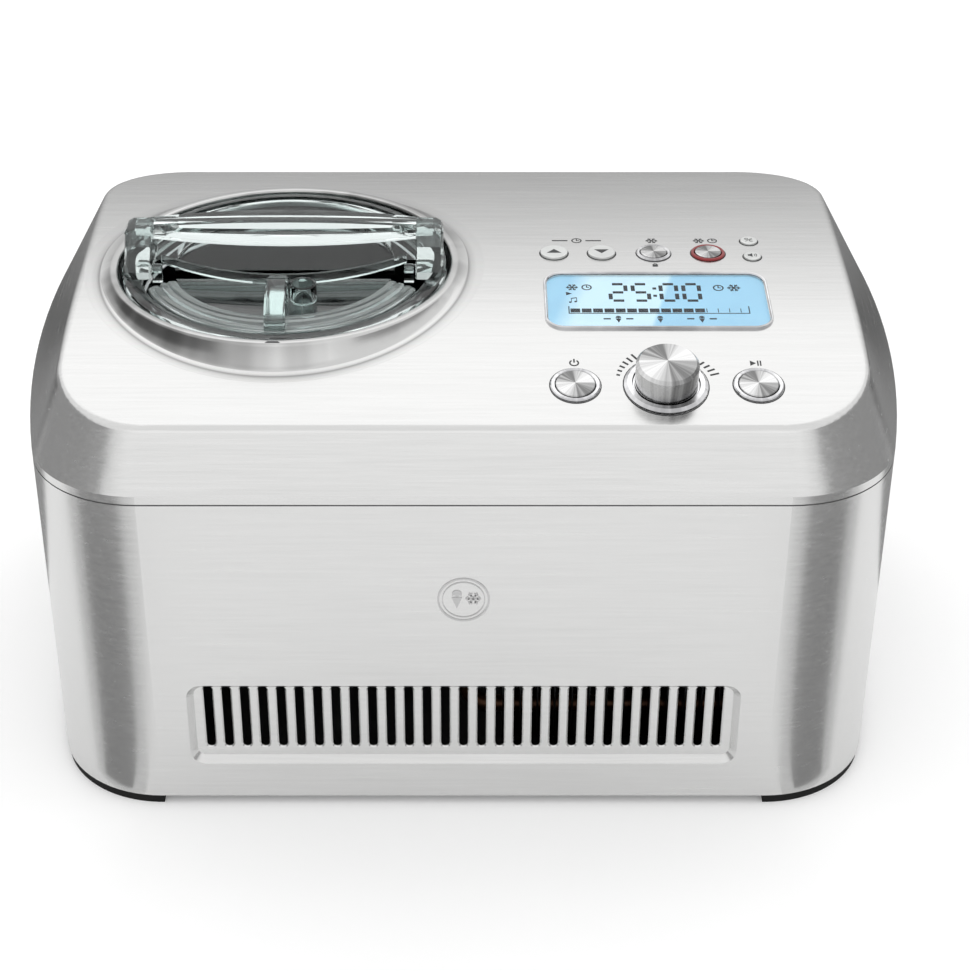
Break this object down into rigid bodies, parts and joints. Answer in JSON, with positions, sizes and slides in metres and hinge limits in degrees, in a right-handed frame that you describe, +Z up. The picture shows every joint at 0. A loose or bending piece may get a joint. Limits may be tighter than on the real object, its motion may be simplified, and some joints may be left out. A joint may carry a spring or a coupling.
{
  "type": "ice cream maker",
  "caption": "Compressor ice cream maker: steel housing with a crowned top, lift-out bowl and paddle under a clear hinged lid, display, buttons and hardness dial.",
  "frame": {"origin": "on the table under the middle of the housing", "axes": "+X to the control side on the right, +Y to the back, +Z up"},
  "size_m": [0.4032, 0.2646, 0.234],
  "materials": {
    "brushed_steel": "fine horizontal brushed grain, satin",
    "collar_steel": "satin turned steel",
    "black_plastic": "fine moulded texture",
    "foot_rubber": "matte rubber",
    "clear_plastic": "clear polished moulded plastic",
    "spun_steel": "circular spun finish",
    "bright_trim": "bright turned ring",
    "keep_cool_red": "red anodised ring",
    "button_cap": "smooth pale cap",
    "display_glass": "glossy clear pane",
    "lcd_face": "pale blue backlit display face",
    "circuit_board": "green solder mask",
    "switch_plastic": "moulded",
    "anodised_aluminium": "dull anodised",
    "bail_steel": "bright wire and screws",
    "paddle_plastic": "food safe moulded plastic",
    "seal_silicone": "silicone",
    "foam": "rigid foam",
    "copper_tube": "drawn copper tube",
    "nylon_gear": "moulded nylon",
    "gear_steel": "cut steel pinion",
    "bush_bronze": "sintered bronze",
    "motor_can": "zinc plated can",
    "black_paint": "black enamel"
  },
  "bodies": {
    "root": {"back_panel": "black_plastic", "base_pan": "black_plastic", "body_wrap": "brushed_steel", "bowl_collar": "collar_steel", "collar_seal": "seal_silicone", "compressor": "black_paint", "compressor_bolts": "bail_steel", "compressor_grommets": "seal_silicone", "condenser_fins": "anodised_aluminium", "condenser_tube": "copper_tube", "control_board": "circuit_board", "cooling_chamber": "anodised_aluminium", "cord_gland": "foot_rubber", "cover_gasket": "foot_rubber", "dial_encoder": "switch_plastic", "dial_skirt": "bright_trim", "display_bezel": "bright_trim", "display_module": "lcd_face", "display_window": "display_glass", "drive_motor": "motor_can", "evaporator_coil": "copper_tube", "fan_motor": "motor_can", "fan_shroud": "black_plastic", "filter_drier": "copper_tube", "foam_jacket": "foam", "front_left_foot": "foot_rubber", "front_right_foot": "foot_rubber", "gearbox_housing": "nylon_gear", "housing_screws": "bail_steel", "keep_cool_ring": "keep_cool_red", "power_board": "circuit_board", "power_ring": "bright_trim", "pre_cool_ring": "bright_trim", "rear_left_foot": "foot_rubber", "rear_right_foot": "foot_rubber", "refrigerant_lines": "copper_tube", "shaft_bush": "bush_bronze", "shaft_seal": "seal_silicone", "start_ring": "bright_trim", "tact_switches": "switch_plastic", "top_cover": "brushed_steel"},
    "bowl": {"bowl": "anodised_aluminium"},
    "bowl_handle": {"bowl_handle": "bail_steel"},
    "paddle": {"paddle": "paddle_plastic"},
    "lid": {"lid": "clear_plastic"},
    "lid_flap": {"lid_flap": "clear_plastic"},
    "dial_knob": {"dial_knob": "spun_steel"},
    "power_button": {"power_button": "spun_steel"},
    "start_button": {"start_button": "spun_steel"},
    "up_button": {"up_button": "button_cap"},
    "down_button": {"down_button": "button_cap"},
    "pre_cool_button": {"pre_cool_button": "spun_steel"},
    "keep_cool_button": {"keep_cool_button": "spun_steel"},
    "temperature_unit_button": {"temperature_unit_button": "button_cap"},
    "sound_button": {"sound_button": "button_cap"},
    "drive_shaft": {"drive_shaft": "bail_steel", "output_gear": "nylon_gear"},
    "idler_gear": {"idler_gear": "nylon_gear"},
    "motor_pinion": {"motor_pinion": "gear_steel"},
    "fan_blades": {"fan_blades": "black_plastic"}
  },
  "joints": [
    {"name": "bowl_lift", "type": "slide", "parent": "root", "child": "bowl", "axis": [0, 0, 1], "range_m": [0, 0.2]},
    {"name": "lid_lift", "type": "slide", "parent": "bowl", "child": "lid", "axis": [0, 0, 1], "range_m": [0, 0.18]},
    {"name": "lid_flap_hinge", "type": "hinge", "parent": "lid", "child": "lid_flap", "pos_m": [-0.082, -0.0145, 0.216], "axis": [-1, 0, 0], "range_deg": [0, 95]},
    {"name": "bowl_handle_fold", "type": "hinge", "parent": "bowl", "child": "bowl_handle", "pos_m": [-0.082, -0.003, 0.196], "axis": [1, 0, 0], "range_deg": [0, 90]},
    {"name": "paddle_spin", "type": "hinge", "parent": "bowl", "child": "paddle", "pos_m": [-0.082, -0.003, 0.13], "axis": [0, 0, 1], "continuous": true},
    {"name": "drive_shaft_spin", "type": "hinge", "parent": "root", "child": "drive_shaft", "pos_m": [-0.082, -0.003, 0.059], "axis": [0, 0, 1], "continuous": true},
    {"name": "idler_gear_spin", "type": "hinge", "parent": "root", "child": "idler_gear", "pos_m": [-0.0505, 0.05156, 0.059], "axis": [0, 0, 1], "continuous": true},
    {"name": "motor_pinion_spin", "type": "hinge", "parent": "root", "child": "motor_pinion", "pos_m": [-0.0325, 0.08274, 0.059], "axis": [0, 0, 1], "continuous": true},
    {"name": "fan_spin", "type": "hinge", "parent": "root", "child": "fan_blades", "pos_m": [0.073, -0.059, 0.058], "axis": [0, 1, 0], "continuous": true},
    {"name": "dial_turn", "type": "hinge", "parent": "root", "child": "dial_knob", "pos_m": [0.0864, -0.0964, 0.20135], "axis": [0, -0.2076, 0.9782], "continuous": true},
    {"name": "power_button_press", "type": "slide", "parent": "root", "child": "power_button", "axis": [0, 0.2076, -0.9782], "range_m": [0, 0.0012], "stiffness_N_per_m": 400},
    {"name": "start_button_press", "type": "slide", "parent": "root", "child": "start_button", "axis": [0, 0.2076, -0.9782], "range_m": [0, 0.0012], "stiffness_N_per_m": 400},
    {"name": "up_button_press", "type": "slide", "parent": "root", "child": "up_button", "axis": [0, 0.0188, -0.9998], "range_m": [0, 0.0012], "stiffness_N_per_m": 400},
    {"name": "down_button_press", "type": "slide", "parent": "root", "child": "down_button", "axis": [0, 0.0188, -0.9998], "range_m": [0, 0.0012], "stiffness_N_per_m": 400},
    {"name": "pre_cool_button_press", "type": "slide", "parent": "root", "child": "pre_cool_button", "axis": [0, 0.0188, -0.9998], "range_m": [0, 0.0012], "stiffness_N_per_m": 400},
    {"name": "keep_cool_button_press", "type": "slide", "parent": "root", "child": "keep_cool_button", "axis": [0, 0.0188, -0.9998], "range_m": [0, 0.0012], "stiffness_N_per_m": 400},
    {"name": "temperature_unit_button_press", "type": "slide", "parent": "root", "child": "temperature_unit_button", "axis": [0, -0.0039, -1], "range_m": [0, 0.0012], "stiffness_N_per_m": 400},
    {"name": "sound_button_press", "type": "slide", "parent": "root", "child": "sound_button", "axis": [0, 0.025, -0.9997], "range_m": [0, 0.0012], "stiffness_N_per_m": 400}
  ],
  "couplings": [
    {"joint": "bowl_handle_fold", "follows": "lid_lift", "rad_per_m": 8.5327},
    {"joint": "idler_gear_spin", "follows": "drive_shaft_spin", "ratio": -1.3333},
    {"joint": "motor_pinion_spin", "follows": "drive_shaft_spin", "ratio": 4},
    {"joint": "paddle_spin", "follows": "drive_shaft_spin", "ratio": 1}
  ]
}
